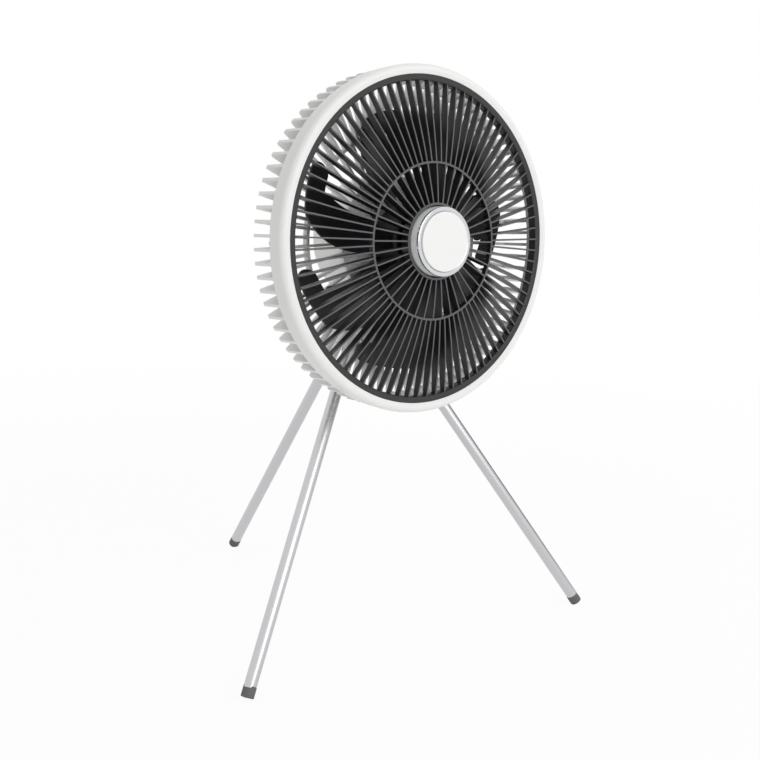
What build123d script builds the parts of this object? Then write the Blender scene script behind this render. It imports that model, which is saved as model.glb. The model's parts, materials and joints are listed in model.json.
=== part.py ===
"""Portable camping fan: ribbed round head, seven-blade impeller, rear pod, tilt hinge, folding tripod."""

import os
from math import cos, radians, sin, sqrt, tan

from build123d import *

os.makedirs("parts", exist_ok=True)

# ---- Driving dimensions, mm and degrees. Floor at z = 0, the fan blows towards -Y ----

# tripod
foot_circle_radius = 186.5  # where the legs' centre lines meet the floor
leg_splay = 36.0  # from vertical
pivot_radius = 22.5  # leg hinges from the tripod's axis
tube_radius = 4.0
tube_wall = 1.0
foot_wall = 0.6  # of the rubber foot round the tube
foot_length = 7.5
foot_grip = 4.5  # length of tube inside the foot
foot_edge = 0.4
pad_cut = 0.8  # taken off the foot's lowest corner, for a level pad
eye_radius = 5.2
eye_width = 6.0
neck_width = 7.0
collar_step = 0.9  # of the knuckle's collar over the tube
collar_length = 3.0
knuckle_reach = 15.0  # hinge to the end of the tube
spigot_length = 14.0
leg_pin_radius = 1.6
hub_rim = 1.95  # of the hub outside its leg slots
hub_below = 6.0  # hub's rim under the leg hinges
hub_shoulder = 1.5  # height of the hub's straight side over the leg hinges
hub_turn = 11.0  # width of the dome's rounded edge
hub_roof = 1.9
hub_wall = 2.4
hub_core_radius = 8.0
hub_pocket_top = 2.5
slot_side = 3.6  # wall beside each leg slot
slot_gap = 0.3
stop_gap = 0.05
turn_gap = 0.05  # round pins that turn
press_gap = 0.03  # round pieces that are pressed together
slide_gap = 0.1  # round pieces that are pushed together

# tilt hinge
head_tilt = 3.2  # nose up
hinge_air = 1.15  # between the hinge's eyes and the hub
hinge_eye_radius = 6.6
tongue_width = 16.0
tongue_base = 22.0
ear_width = 4.5
ear_front = 12.0  # flare of the ears along the pod
ear_back = 3.5
washer_radius = 6.2
washer_width = 0.8
hinge_pin_radius = 3.0
hinge_head_radius = 5.4
hinge_head_width = 2.6
hinge_edge = 0.6
ear_reach = 9.6  # hinge below the pod's side
leg_air = 5.0  # between a front leg and the rib cage

# head shell, radius from the fan's axis, depth from the grille's flat rim
head_radius = 124.3
bezel_round = 4.2
bezel_crown = 0.8
bezel_wall = 5.4
bezel_face = 7.3  # from the grille to the outside
ledge_width = 2.5
ledge_thickness = 2.2
seam_depth = 7.0
seam_groove = 0.4
ring_depth = 16.0
ring_edge = 1.5
lip_height = 2.6
lip_width = 1.4
guard_depth = 38.0
rib_recess = 1.8  # ribs stand in from the ring
rib_corner = 3.0
rib_thickness = 2.2
rib_count = 80
rib_width = 10.0
rib_ramp = 24.0  # depth at which the rib's inner edge starts towards the ring
back_rib_thickness = 1.8
back_rib_count = 40
back_rib_depth = 4.6
guard_ring_radius = 78.0
guard_ring_width = 2.4
guard_dish = 3.0  # the back stands out by this much at the pod
guard_hub_rim = 1.8  # hub beyond the pod
guard_hub_thickness = 4.0
pod_spigot = 1.5
ring_screw_count = 8
ring_screw_radius = 1.2
ring_screw_head = 2.1
ring_screw_head_height = 1.6
ring_screw_bite = 4.0

# grille
rim_width = 4.6
rim_thickness = 2.0
rim_wall = 1.8
rim_depth = 7.0
rim_edge = 1.4  # round inner edge, where the spokes' dome meets the rim's face
rim_gap = 0.2
spoke_count = 81
spoke_thickness = 1.1
spoke_depth = 7.5  # inside the mid ring and at it
spoke_root = 4.4  # depth of a spoke at the rim
dome_rise = 13.9  # of the dome at the axis
mid_ring_radius = 55.6
mid_ring_width = 1.5
mid_ring_depth = 4.2
inner_spoke_count = 40
inner_spoke_phase = -1.3  # seen from the front
hub_ring_radius = 27.4
hub_ring_wall = 1.8
hub_ring_front = 13.4
hub_plate_front = 8.2
hub_plate = 2.0

# centre cap
cap_gap = 1.0  # round the barrel, in the hub ring
cap_wall = 2.0
cap_groove_front = 18.4
cap_groove_width = 0.7
cap_groove_depth = 0.8
cap_step_front = 19.2
cap_rim_front = 21.2
cap_rim_width = 3.4
cap_rim_round = 0.7
cap_disc_front = 22.0
cap_disc_thickness = 2.0
cap_disc_edge = 0.5

# impeller
blade_count = 7
blade_phase = -18.7  # trailing edge of a blade at the middle radius, seen from the front
blade_front = 8.9  # depth of the blade there
blade_back_gap = 1.4  # behind the middle of a blade's hook
blade_thickness = 1.9
blade_tip_gap = 18.5  # to the ribs
hook_width = 15.2
hook_angle = 42.0
hook_bulge = 3.6  # of the hook's round end
hook_turn = 6.0  # half of the hook's inner arc
notch_middle = (3.0, 3.4)  # inside the hook, and past the leading edge
notch_end = (8.3, 1.6)
blade_sink = 1.0  # of the blades into the hub
sheet_lead = 14.0  # of the helical sheet before the trailing edge
sheet_step = 10.0
sheet_count = 8
sheet_over = 3.0  # of the sheet past the outline, at each end
# share of the way from the hub to the tip, and angle from the blade's middle line or leading edge
trailing_points = [(0.0, 8.0), (0.22, 3.5), (0.48, 0.0), (0.71, -5.5), (0.885, -12.4)]
leading_points = [(0.43, 0.0), (0.22, -1.0), (0.0, -3.0)]
tip_angle = 19.5
blade_chord_angle = 30.0
impeller_wall = 3.0
impeller_front = 3.0
impeller_plate = 2.8
impeller_edge = 2.0

# motor
can_radius = 23.0
can_wall = 1.0
can_gap = 5.0  # behind the can
can_show = 2.0  # of the can behind the impeller's hub
magnet_thickness = 2.6
magnet_front = 11.0
magnet_inset = 1.0
air_gap = 0.6
stator_front = 12.5
stator_inset = 2.5
stator_teeth = 9
stator_yoke = 3.0
tooth_width = 3.6
tooth_shoe = 1.6
coil_width = 1.5
coil_gap = 0.2
shaft_radius = 2.0
shaft_tip = 2.5  # in front of the rim's plane
shaft_end_gap = 0.4  # from the guard's hub
bearing_radius = 5.5
bearing_width = 4.0
bearing_land = 1.3
sleeve_wall = 1.8
sleeve_front = 9.0
flange_radius = 18.0
flange_thickness = 3.0
motor_screw_count = 4
motor_screw_circle = 13.5
motor_screw_radius = 1.4
motor_screw_head = 2.6
motor_screw_head_height = 1.8
motor_screw_bite = 3.2
nut_across = 9.0
nut_height = 4.0

# pod
pod_room = 0.34  # round the cells' corners
pod_wall = 2.2
pod_depth = 38.0
pod_edge = 6.0
pod_screw_angles = (65.0, 115.0, 245.0, 295.0)
pod_screw_radius = 1.25
pod_screw_head = 2.4
pod_screw_head_height = 1.8
pod_screw_length = 14.0
pod_boss_radius = 3.2
pod_boss_length = 15.0
pod_boss_sink = 1.2  # of the bosses into the pod's wall
cell_radius = 9.2
cell_length = 65.0
cell_gap = 0.5
cell_tip_radius = 3.0
cell_tip = 0.8
cradle_floor = 1.5
cradle_depth = 9.5
cradle_end = 1.6
board_inset = 6.3  # from the pod's wall
board_thickness = 1.6
board_standoff = 6.8  # from the pod's back wall
board_post_inset = 7.0
board_post_radius = 2.4
board_pin_radius = 1.1
board_tab_gap = 1.3  # from the pod's wall
board_tab_width = 14.0
switch_size = 12.0
switch_height = 3.6
switch_bore = 3.4
switch_bore_depth = 2.8
button_radius = 8.0
button_gap = 0.3
button_proud = 1.2
button_travel = 0.8
button_flange = 1.6
button_flange_thickness = 1.4
button_stem_radius = 3.2
button_stem_gap = 0.3  # left in the switch's bore with the button pressed
button_edge = 0.5
light_count = 4
light_radius = 1.0
light_circle = 16.0
light_pitch = 20.0
light_bar = 1.4
light_above_board = 0.6
port_width = 8.9
port_height = 3.3
port_depth = 7.4
port_wall = 0.3
port_tongue_width = 6.7
port_tongue = 0.7
port_tongue_length = 5.0
port_frame = 0.35

# ---- Derived places ----

tilt = radians(head_tilt)
splay = radians(leg_splay)
slot_radius = eye_radius + slot_gap + stop_gap
hub_radius = pivot_radius + slot_radius + hub_rim
hub_top = slot_radius + hub_roof
hinge_rise = hub_top + hinge_air + hinge_eye_radius  # over the leg hinges
foot_radius = tube_radius + foot_wall
collar_radius = tube_radius + collar_step
cell_pitch = 2 * cell_radius + cell_gap
pod_inner = sqrt((cell_length / 2) ** 2 + (cell_pitch + cell_radius) ** 2) + pod_room
pod_radius = pod_inner + pod_wall
apex_height = foot_circle_radius / tan(splay)
pivot_height = apex_height - pivot_radius / tan(splay)
hinge_height = pivot_height + hinge_rise
hinge_drop = pod_radius + ear_reach  # hinge below the fan's axis
pod_front = guard_depth + guard_dish
pod_back = pod_front + pod_depth
rib_radius = head_radius - rib_recess

# a front leg passes the rib cage where it is as far from the fan's axis as the ribs are
lead_cos = cos(radians(60))
lead_sin = sin(radians(60))
axis_over_apex = hinge_height + hinge_drop - apex_height
quad_a = lead_sin**2 + 1 / tan(splay) ** 2
quad_b = 2 * axis_over_apex / tan(splay)
quad_c = axis_over_apex**2 - rib_radius**2
pass_run = (-quad_b + sqrt(quad_b**2 - 4 * quad_a * quad_c)) / (2 * quad_a)
pass_drop = axis_over_apex + pass_run / tan(splay)
leg_depth = guard_depth + leg_air + tube_radius / cos(splay * lead_cos) - pass_drop * sin(tilt)
hub_setback = leg_depth / cos(tilt) + pass_run * lead_cos
hinge_depth = (hub_setback + hinge_drop * sin(tilt)) / cos(tilt)

# the feet stand on their lowest corners, and the overall box is centred on x = y = 0
foot_end_height = foot_radius * sin(splay) - pad_cut
foot_end = (pivot_height - foot_end_height) / cos(splay)  # along the leg from its hinge
foot_end_radius = pivot_radius + foot_end * sin(splay)
rear_reach = foot_end_radius + foot_radius * cos(splay)
front_reach = foot_end_radius * lead_cos + foot_radius * sqrt((cos(splay) * lead_cos) ** 2 + lead_sin**2)
tripod_y = (front_reach - rear_reach) / 2
head_y = tripod_y - hub_setback
head_z = hinge_height + hinge_depth * sin(tilt) + hinge_drop * cos(tilt)

face = Plane(origin=(0, head_y, head_z), x_dir=(1, 0, 0), z_dir=(0, -cos(tilt), sin(tilt)))
fan_axis = Axis(face.origin, face.z_dir)
head_hinge = Plane(origin=(0, tripod_y, hinge_height), x_dir=-face.z_dir, z_dir=(1, 0, 0))
stand_hinge = Plane(origin=(0, tripod_y, hinge_height), x_dir=(0, 1, 0), z_dir=(1, 0, 0))
hub_section = Plane(origin=(0, tripod_y, pivot_height), x_dir=(1, 0, 0), z_dir=(0, -1, 0))
hub_axis = Axis(hub_section.origin, (0, 0, 1))
leg_azimuths = {"left": -150.0, "right": -30.0, "rear": 90.0}


def depth_plane(depth):
    """Plane square to the fan's axis at a depth behind the grille's rim, facing forward."""
    return face.offset(-depth)


def side_plane(depth):
    """Plane through the fan's axis that faces +X, with its origin at a depth and local x upward."""
    return Plane(origin=face.from_local_coords((0, 0, -depth)), x_dir=face.y_dir, z_dir=(1, 0, 0))


def spoke_plane(angle):
    """Half plane through the fan's axis: local x runs out along the angle, local y runs forward."""
    out = face.x_dir * cos(radians(angle)) + face.y_dir * sin(radians(angle))
    return Plane(origin=face.origin, x_dir=out, z_dir=out.cross(face.z_dir))


def even_planes(count, phase):
    """Spoke planes spaced evenly round the fan's axis."""
    return [spoke_plane(phase + 360.0 * index / count) for index in range(count)]


def pivot_plane(azimuth):
    """Plane in which a leg swings: origin on its hinge, local x outward, local y up."""
    out = Vector(cos(radians(azimuth)), sin(radians(azimuth)), 0)
    return Plane(origin=hub_axis.position + out * pivot_radius, x_dir=out, z_dir=out.cross(Vector(0, 0, 1)))


def leg_plane(azimuth, distance):
    """Plane square to a leg at a distance down it from the hinge."""
    swing = pivot_plane(azimuth)
    down = swing.x_dir * sin(splay) - swing.y_dir * cos(splay)
    return Plane(origin=swing.origin + down * distance, x_dir=swing.z_dir, z_dir=down)


def write(piece, name):
    piece.part.label = name
    export_step(piece.part, f"parts/{name}.step")


# ---- Front bezel ----

section = spoke_plane(0.0)
grille_radius = head_radius - bezel_face
bezel_inner = grille_radius + rim_gap
ledge_inner = bezel_inner - ledge_width
wall_inner = head_radius - bezel_wall
screw_circle = head_radius - bezel_wall / 2 - seam_groove

with BuildPart() as front_bezel:
    with BuildSketch(section):
        with BuildLine():
            Polyline(
                (head_radius, bezel_crown - bezel_round),
                (head_radius - seam_groove / 2, seam_groove - seam_depth),
                (head_radius - seam_groove, -seam_depth),
                (wall_inner, -seam_depth),
                (wall_inner, -rim_thickness - ledge_thickness),
                (ledge_inner, -rim_thickness - ledge_thickness),
                (ledge_inner, -rim_thickness),
                (bezel_inner, -rim_thickness),
                (bezel_inner, 0),
                (head_radius - bezel_round, bezel_crown),
            )
            ThreePointArc(
                (head_radius - bezel_round, bezel_crown),
                (
                    head_radius - bezel_round * (1 - cos(radians(45))),
                    bezel_crown - bezel_round * (1 - sin(radians(45))),
                ),
                (head_radius, bezel_crown - bezel_round),
            )
        make_face()
    revolve(axis=fan_axis)
    with BuildSketch(depth_plane(seam_depth)):
        with PolarLocations(screw_circle, ring_screw_count):
            Circle(ring_screw_radius + turn_gap)
    extrude(amount=ring_screw_bite, mode=Mode.SUBTRACT)
write(front_bezel, "front_bezel")

# ---- Front grille: rim, mid ring and hub ring joined by deep spokes that follow a dome ----

rim_inner = grille_radius - rim_width
dome_span = rim_inner + rim_edge
dome_radius = (dome_span**2 + dome_rise**2) / (2 * dome_rise)
spoke_end = rim_inner + rim_wall / 2
hub_ring_mid = hub_ring_radius - hub_ring_wall / 2


def dome(radius):
    """Height of the dome over the rim's plane."""
    return dome_rise - dome_radius + sqrt(dome_radius**2 - radius**2)


def dome_arc(start, end, drop):
    """Arc along the dome from one radius to another, set back by a drop."""
    middle = (start + end) / 2
    return ThreePointArc(
        (start, dome(start) - drop),
        (middle, dome(middle) - drop),
        (end, dome(end) - drop),
    )


with BuildPart() as front_grille:
    with BuildSketch(section):
        with BuildLine():
            rim_outline = Polyline(
                (dome_span, 0),
                (grille_radius, 0),
                (grille_radius, -rim_thickness),
                (rim_inner + rim_wall, -rim_thickness),
                (rim_inner + rim_wall, -rim_depth),
                (rim_inner, -rim_depth),
                (rim_inner, -rim_edge),
            )
            TangentArc(rim_outline @ 1, rim_outline @ 0, tangent=rim_outline % 1)
        make_face()
        with Locations((mid_ring_radius, dome(mid_ring_radius) - mid_ring_depth / 2)):
            Rectangle(mid_ring_width, mid_ring_depth)
        with BuildLine():
            Polyline(
                (0, hub_plate_front - hub_plate),
                (hub_ring_radius, hub_plate_front - hub_plate),
                (hub_ring_radius, hub_ring_front),
                (hub_ring_radius - hub_ring_wall, hub_ring_front),
                (hub_ring_radius - hub_ring_wall, hub_plate_front),
                (0, hub_plate_front),
                close=True,
            )
        make_face()
    revolve(axis=fan_axis)
    with BuildSketch(*even_planes(spoke_count, 0.0)):
        with BuildLine():
            front_edge = dome_arc(mid_ring_radius, spoke_end, 0)
            Polyline(
                front_edge @ 1,
                (spoke_end, -spoke_root),
                (mid_ring_radius, dome(mid_ring_radius) - spoke_depth),
                front_edge @ 0,
            )
        make_face()
    extrude(amount=spoke_thickness / 2, both=True)
    with BuildSketch(*even_planes(inner_spoke_count, inner_spoke_phase)):
        with BuildLine():
            front_edge = dome_arc(hub_ring_mid, mid_ring_radius, 0)
            back_edge = dome_arc(mid_ring_radius, hub_ring_mid, spoke_depth)
            Line(front_edge @ 1, back_edge @ 0)
            Line(back_edge @ 1, front_edge @ 0)
        make_face()
    extrude(amount=spoke_thickness / 2, both=True)
write(front_grille, "front_grille")

# ---- Centre cap: barrel in the grille's hub ring, bright rim and disc on its end ----

barrel_radius = hub_ring_radius - hub_ring_wall - cap_gap
cap_seat = cap_disc_front - cap_disc_thickness
boss_radius = barrel_radius - cap_rim_width

with BuildPart() as centre_barrel:
    with BuildSketch(section):
        with BuildLine():
            Polyline(
                (barrel_radius, hub_plate_front),
                (barrel_radius, cap_groove_front - cap_groove_width),
                (barrel_radius - cap_groove_depth, cap_groove_front - cap_groove_width),
                (barrel_radius - cap_groove_depth, cap_groove_front),
                (barrel_radius, cap_groove_front),
                (barrel_radius, cap_step_front),
                (boss_radius, cap_step_front),
                (boss_radius, cap_seat),
                (0, cap_seat),
                (0, cap_seat - cap_wall),
                (barrel_radius - cap_wall, cap_seat - 2 * cap_wall),
                (barrel_radius - cap_wall, hub_plate_front),
                close=True,
            )
        make_face()
    revolve(axis=fan_axis)
write(centre_barrel, "centre_barrel")

with BuildPart() as chrome_rim:
    with BuildSketch(depth_plane(-cap_step_front)):
        Circle(barrel_radius)
        Circle(boss_radius + slide_gap, mode=Mode.SUBTRACT)
    extrude(amount=cap_rim_front - cap_step_front)
    fillet(chrome_rim.edges().group_by(fan_axis)[-1], cap_rim_round)
write(chrome_rim, "chrome_rim")

with BuildPart() as centre_disc:
    with BuildSketch(depth_plane(-cap_seat)):
        Circle(boss_radius)
    extrude(amount=cap_disc_thickness)
    fillet(centre_disc.edges().group_by(fan_axis)[-1], cap_disc_edge)
write(centre_disc, "centre_disc")

# ---- Rear guard: ring behind the bezel, ribs down the side and over the back, hub for the pod ----

ring_radius = head_radius - seam_groove
lip_radius = wall_inner - slide_gap
rib_inner = rib_radius - rib_width
hub_disc_radius = pod_radius + guard_hub_rim
back_slope = guard_dish / (rib_radius - rib_corner - hub_disc_radius)
hub_front = pod_front - guard_hub_thickness
spigot_radius = pod_inner - rim_gap
pod_screw_circle = pod_inner + pod_boss_sink - pod_boss_radius


def back_depth(radius):
    """Depth of the guard's dished back."""
    return guard_depth + (rib_radius - rib_corner - radius) * back_slope


with BuildPart() as rear_guard:
    with BuildSketch(section):
        with BuildLine():
            Polyline(
                (ring_radius, -seam_depth),
                (ring_radius - seam_groove / 2, ring_edge - ring_depth),
                (ring_radius - seam_groove / 2 - ring_edge, -ring_depth),
                (lip_radius, -ring_depth),
                (lip_radius - lip_width, -ring_depth + ring_edge),
                (lip_radius - lip_width, lip_height - seam_depth),
                (lip_radius, lip_height - seam_depth),
                (lip_radius, -seam_depth),
                close=True,
            )
        make_face()
        with BuildLine():
            ring_outer = guard_ring_radius + guard_ring_width / 2
            ring_inner = guard_ring_radius - guard_ring_width / 2
            Polyline(
                (ring_outer, -back_depth(ring_outer)),
                (ring_outer, back_rib_depth - back_depth(ring_outer)),
                (ring_inner, back_rib_depth - back_depth(ring_inner)),
                (ring_inner, -back_depth(ring_inner)),
                close=True,
            )
        make_face()
        with BuildLine():
            Polyline(
                (0, -hub_front),
                (hub_disc_radius, -hub_front),
                (hub_disc_radius, -pod_front),
                (spigot_radius, -pod_front),
                (spigot_radius, -pod_front - pod_spigot),
                (0, -pod_front - pod_spigot),
                close=True,
            )
        make_face()
    revolve(axis=fan_axis)
    with BuildSketch(*even_planes(rib_count, 180.0 / rib_count)):
        with BuildLine():
            side = Line((rib_radius, ring_edge - ring_depth), (rib_radius, rib_corner - guard_depth))
            corner = TangentArc(side @ 1, (rib_radius - rib_corner, -guard_depth), tangent=side % 1)
            Polyline(
                corner @ 1,
                (guard_ring_radius, -back_depth(guard_ring_radius)),
                (guard_ring_radius, back_rib_depth - back_depth(guard_ring_radius)),
                (rib_inner, back_rib_depth - back_depth(rib_inner)),
                (rib_inner, -rib_ramp),
                (lip_radius, ring_edge - ring_depth),
                side @ 0,
            )
        make_face()
    extrude(amount=rib_thickness / 2, both=True)
    with BuildSketch(*even_planes(back_rib_count, 90.0 / back_rib_count)):
        with BuildLine():
            Polyline(
                (guard_ring_radius, -back_depth(guard_ring_radius)),
                (hub_disc_radius - guard_hub_rim / 2, -back_depth(hub_disc_radius - guard_hub_rim / 2)),
                (hub_disc_radius - guard_hub_rim / 2, -hub_front),
                (hub_disc_radius, back_rib_depth - pod_front),
                (guard_ring_radius, back_rib_depth - back_depth(guard_ring_radius)),
                close=True,
            )
        make_face()
    extrude(amount=back_rib_thickness / 2, both=True)
    with BuildSketch(depth_plane(ring_depth)):
        with PolarLocations(screw_circle, ring_screw_count):
            Circle(ring_screw_radius + slide_gap)
    extrude(amount=ring_depth - seam_depth, mode=Mode.SUBTRACT)
    with BuildSketch(depth_plane(ring_depth)):
        with PolarLocations(screw_circle, ring_screw_count):
            Circle(ring_screw_head + slide_gap)
    extrude(amount=ring_screw_head_height, mode=Mode.SUBTRACT)
    with BuildSketch(depth_plane(hub_front)):
        with PolarLocations(motor_screw_circle, motor_screw_count, start_angle=45):
            Circle(motor_screw_radius + turn_gap)
    extrude(amount=-motor_screw_bite, mode=Mode.SUBTRACT)
    with BuildSketch(depth_plane(hub_front)):
        for angle in pod_screw_angles:
            with PolarLocations(pod_screw_circle, 1, start_angle=angle):
                Circle(pod_screw_radius + slide_gap)
    extrude(amount=-guard_hub_thickness - pod_spigot, mode=Mode.SUBTRACT)
    with BuildSketch(depth_plane(hub_front)):
        for angle in pod_screw_angles:
            with PolarLocations(pod_screw_circle, 1, start_angle=angle):
                Circle(pod_screw_head + slide_gap)
    extrude(amount=-pod_screw_head_height, mode=Mode.SUBTRACT)
write(rear_guard, "rear_guard")

with BuildPart() as ring_screws:
    with BuildSketch(depth_plane(ring_depth)):
        with PolarLocations(screw_circle, ring_screw_count):
            Circle(ring_screw_head)
    extrude(amount=ring_screw_head_height)
    with BuildSketch(depth_plane(ring_depth - ring_screw_head_height)):
        with PolarLocations(screw_circle, ring_screw_count):
            Circle(ring_screw_radius)
    extrude(amount=ring_depth - ring_screw_head_height - seam_depth + ring_screw_bite - slide_gap)
write(ring_screws, "ring_screws")

# ---- Impeller: seven blades cut from a helical sheet to a forward-swept outline ----

can_front = impeller_front + impeller_plate
flange_front = hub_front - flange_thickness
can_back = flange_front - can_gap
impeller_back = can_back - can_show
impeller_radius = can_radius + press_gap + impeller_wall

blade_root = impeller_radius - blade_sink
blade_tip_radius = rib_inner - blade_tip_gap
hook_inner = blade_tip_radius - hook_width
hook_depth = guard_depth - back_rib_depth - blade_back_gap
hook_end_angle = hook_angle + hook_bulge
sheet_angles = [sheet_lead - sheet_step * step for step in range(sheet_count)]


def blade_depth(angle):
    """Depth of the blade's middle surface at an angle from its trailing edge."""
    return blade_front - (hook_depth - blade_front) * angle / hook_end_angle


def blade_radius(share):
    """Radius at a share of the way from the hub to the tip."""
    return blade_root + share * (blade_tip_radius - blade_root)


def blade_point(radius, angle):
    """Point of the blade's outline, on the face plane."""
    turn = radians(blade_phase + angle)
    return (radius * cos(turn), radius * sin(turn))


with BuildPart() as blade:
    for angle in sheet_angles:
        with BuildSketch(spoke_plane(blade_phase + angle)):
            with Locations(((blade_root + blade_tip_radius) / 2, -blade_depth(angle))):
                Rectangle(blade_tip_radius - blade_root + 2 * sheet_over, blade_thickness)
    loft()
    with BuildSketch(face):
        with BuildLine():
            trailing = Spline(*[blade_point(blade_radius(share), turn) for share, turn in trailing_points])
            corner = TangentArc(trailing @ 1, blade_point(blade_tip_radius, -tip_angle), tangent=trailing % 1)
            tip = ThreePointArc(
                corner @ 1,
                blade_point(blade_tip_radius, -(tip_angle + hook_angle) / 2),
                blade_point(blade_tip_radius, -hook_angle),
            )
            hook = ThreePointArc(
                tip @ 1,
                blade_point(blade_tip_radius - hook_width / 2, -hook_end_angle),
                blade_point(hook_inner, -hook_angle),
            )
            inner = ThreePointArc(
                hook @ 1,
                blade_point(hook_inner, -hook_angle + hook_turn),
                blade_point(hook_inner, -hook_angle + 2 * hook_turn),
            )
            notch = ThreePointArc(
                inner @ 1,
                blade_point(hook_inner - notch_middle[0], -blade_chord_angle - notch_middle[1]),
                blade_point(hook_inner - notch_end[0], -blade_chord_angle - notch_end[1]),
            )
            leading = Spline(
                notch @ 1,
                *[blade_point(blade_radius(share), turn - blade_chord_angle) for share, turn in leading_points],
            )
            Line(leading @ 1, trailing @ 0)
        make_face()
    extrude(amount=-guard_depth, mode=Mode.INTERSECT)

with BuildPart() as impeller:
    with BuildSketch(section):
        with BuildLine():
            Polyline(
                (shaft_radius + press_gap, -impeller_front),
                (impeller_radius - impeller_edge, -impeller_front),
                (impeller_radius, -impeller_front - impeller_edge),
                (impeller_radius, -impeller_back),
                (can_radius + press_gap, -impeller_back),
                (can_radius + press_gap, -can_front),
                (shaft_radius + press_gap, -can_front),
                close=True,
            )
        make_face()
    revolve(axis=fan_axis)
    for index in range(blade_count):
        add(blade.part.rotate(fan_axis, 360.0 * index / blade_count))
    with BuildSketch(depth_plane(can_front)):
        Circle(can_radius + press_gap)
    extrude(amount=-guard_depth + can_front, mode=Mode.SUBTRACT)
write(impeller, "impeller")

with BuildPart() as impeller_nut:
    with BuildSketch(depth_plane(impeller_front)):
        RegularPolygon(nut_across / 2, 6, major_radius=False)
        Circle(shaft_radius + turn_gap, mode=Mode.SUBTRACT)
    extrude(amount=nut_height)
write(impeller_nut, "impeller_nut")

# ---- Motor: can and magnet turn with the shaft, stator and bearings stay on the mount ----

with BuildPart() as rotor_can:
    with BuildSketch(section):
        with BuildLine():
            Polyline(
                (shaft_radius + press_gap, -can_front),
                (can_radius, -can_front),
                (can_radius, -can_back),
                (can_radius - can_wall, -can_back),
                (can_radius - can_wall, -can_front - can_wall),
                (shaft_radius + press_gap, -can_front - can_wall),
                close=True,
            )
        make_face()
    revolve(axis=fan_axis)
write(rotor_can, "rotor_can")

magnet_radius = can_radius - can_wall - press_gap
with BuildPart() as rotor_magnet:
    with BuildSketch(depth_plane(magnet_front)):
        Circle(magnet_radius)
        Circle(magnet_radius - magnet_thickness, mode=Mode.SUBTRACT)
    extrude(amount=magnet_front + magnet_inset - can_back)
write(rotor_magnet, "rotor_magnet")

with BuildPart() as motor_shaft:
    with BuildSketch(depth_plane(-shaft_tip)):
        Circle(shaft_radius)
    extrude(amount=shaft_end_gap - shaft_tip - hub_front)
write(motor_shaft, "motor_shaft")

sleeve_radius = bearing_radius + sleeve_wall
with BuildPart() as motor_mount:
    with BuildSketch(section):
        with BuildLine():
            Polyline(
                (bearing_radius + press_gap, -sleeve_front),
                (sleeve_radius, -sleeve_front),
                (sleeve_radius, -flange_front),
                (flange_radius, -flange_front),
                (flange_radius, -hub_front),
                (bearing_radius + press_gap, -hub_front),
                (bearing_radius + press_gap, bearing_width - hub_front),
                (bearing_radius - bearing_land, bearing_width - hub_front),
                (bearing_radius - bearing_land, -sleeve_front - bearing_width),
                (bearing_radius + press_gap, -sleeve_front - bearing_width),
                close=True,
            )
        make_face()
    revolve(axis=fan_axis)
    with BuildSketch(depth_plane(flange_front)):
        with PolarLocations(motor_screw_circle, motor_screw_count, start_angle=45):
            Circle(motor_screw_radius + slide_gap)
    extrude(amount=-flange_thickness, mode=Mode.SUBTRACT)
write(motor_mount, "motor_mount")

for name, depth in (("bearing_front", sleeve_front), ("bearing_rear", hub_front - bearing_width)):
    with BuildPart() as bearing:
        with BuildSketch(depth_plane(depth)):
            Circle(bearing_radius)
            Circle(shaft_radius + turn_gap, mode=Mode.SUBTRACT)
        extrude(amount=-bearing_width)
    write(bearing, name)

stator_radius = magnet_radius - magnet_thickness - air_gap
stator_bore = sleeve_radius + press_gap
stator_length = can_back - stator_inset - stator_front
yoke_radius = stator_bore + stator_yoke
shoe_inner = stator_radius - tooth_shoe
with BuildPart() as stator_core:
    with BuildSketch(depth_plane(stator_front)):
        Circle(stator_radius)
        Circle(shoe_inner, mode=Mode.SUBTRACT)
        with PolarLocations((stator_radius + yoke_radius) / 2, stator_teeth, start_angle=180 / stator_teeth):
            Rectangle(stator_radius, tooth_width / 2, mode=Mode.SUBTRACT)
        Circle(yoke_radius)
        with PolarLocations((yoke_radius + shoe_inner) / 2, stator_teeth):
            Rectangle(shoe_inner - yoke_radius + tooth_shoe, tooth_width)
        Circle(stator_bore, mode=Mode.SUBTRACT)
    extrude(amount=-stator_length)
write(stator_core, "stator_core")

coil_inner = yoke_radius + coil_gap
coil_half_width = tooth_width / 2 + coil_gap / 2 + coil_width / 2
coil_outer = sqrt((shoe_inner - coil_gap) ** 2 - coil_half_width**2)
coil_length = coil_outer - coil_inner
with BuildPart() as stator_coils:
    for index in range(stator_teeth):
        tooth_side = spoke_plane(360.0 * index / stator_teeth)
        with BuildSketch(tooth_side):
            with Locations((coil_inner + coil_length / 2, -stator_front - stator_length / 2)):
                Rectangle(coil_length, stator_length + 2 * coil_gap + 2 * coil_width)
        extrude(amount=coil_half_width, both=True)
        with BuildSketch(tooth_side):
            with Locations((coil_inner + coil_length / 2, -stator_front - stator_length / 2)):
                Rectangle(coil_length, stator_length + 2 * coil_gap)
        extrude(amount=tooth_width / 2 + coil_gap / 2, both=True, mode=Mode.SUBTRACT)
write(stator_coils, "stator_coils")

with BuildPart() as motor_screws:
    with BuildSketch(depth_plane(flange_front)):
        with PolarLocations(motor_screw_circle, motor_screw_count, start_angle=45):
            Circle(motor_screw_head)
    extrude(amount=motor_screw_head_height)
    with BuildSketch(depth_plane(flange_front)):
        with PolarLocations(motor_screw_circle, motor_screw_count, start_angle=45):
            Circle(motor_screw_radius)
    extrude(amount=-flange_thickness - motor_screw_bite + slide_gap)
write(motor_screws, "motor_screws")

# ---- Rear pod: cup on the guard's hub, with ears for the tilt hinge ----

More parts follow.
